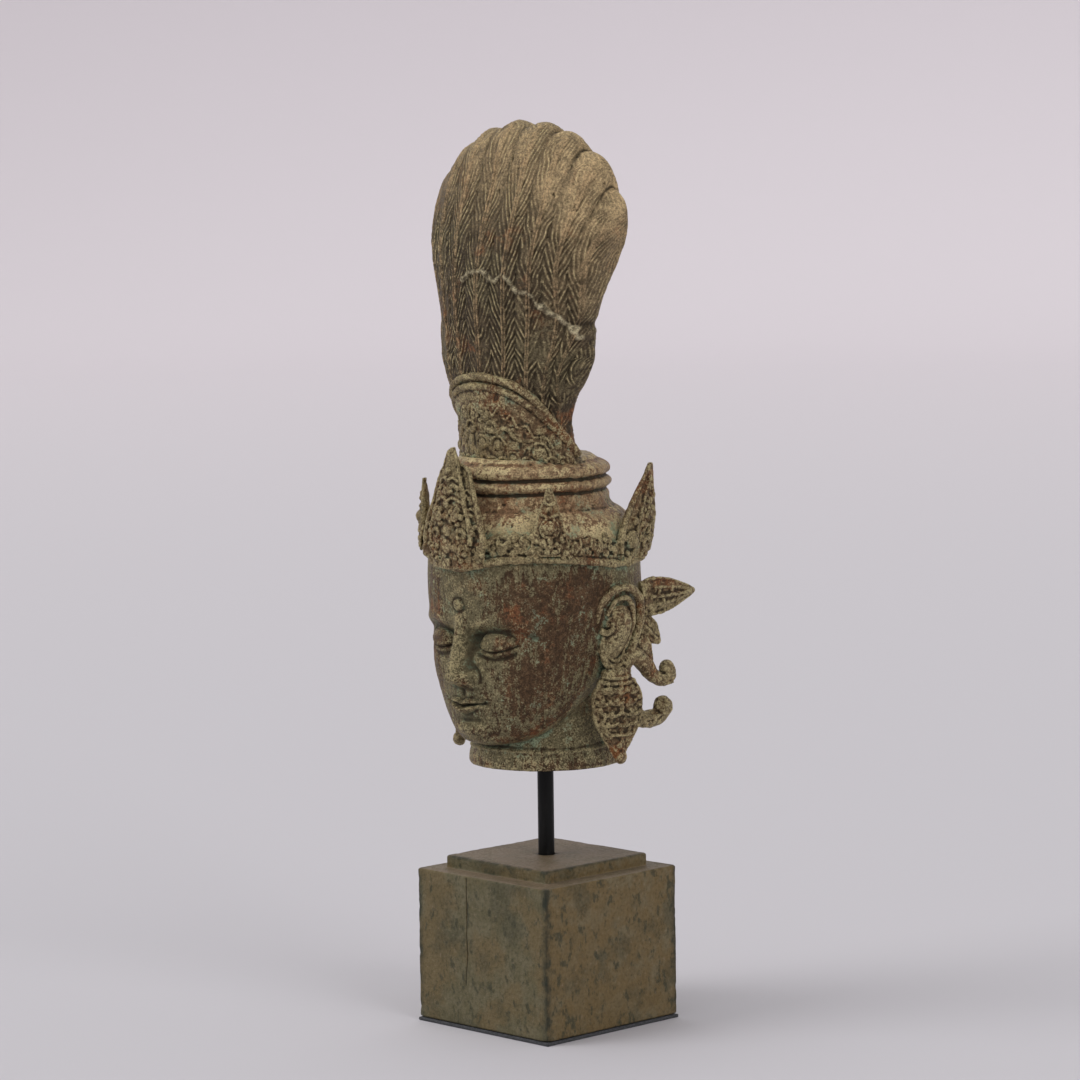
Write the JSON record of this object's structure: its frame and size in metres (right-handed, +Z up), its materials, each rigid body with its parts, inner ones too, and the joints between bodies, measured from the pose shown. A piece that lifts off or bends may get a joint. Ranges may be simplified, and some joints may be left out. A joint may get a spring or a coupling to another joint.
{
  "type": "bronze deity bust on a stand",
  "caption": "Cast bronze deity head with a tall fan crest, crown and ear pendants, held by a slim rod over a stepped square plinth.",
  "frame": {"origin": "centre of the pad's underside, on the surface the piece stands on", "axes": "+Z up, the face looks along -Y, +X is the figure's left"},
  "size_m": [0.1486, 0.1376, 0.5269],
  "materials": {
    "bronze": "aged bronze, brown with olive and verdigris patina",
    "rod_steel": "satin black",
    "plinth_wood": "painted a mottled bronze green and ochre, waxed",
    "pad": "matt"
  },
  "bodies": {
    "root": {"head": "bronze", "rod": "rod_steel", "plinth": "plinth_wood", "base_pad": "pad"}
  },
  "joints": []
}
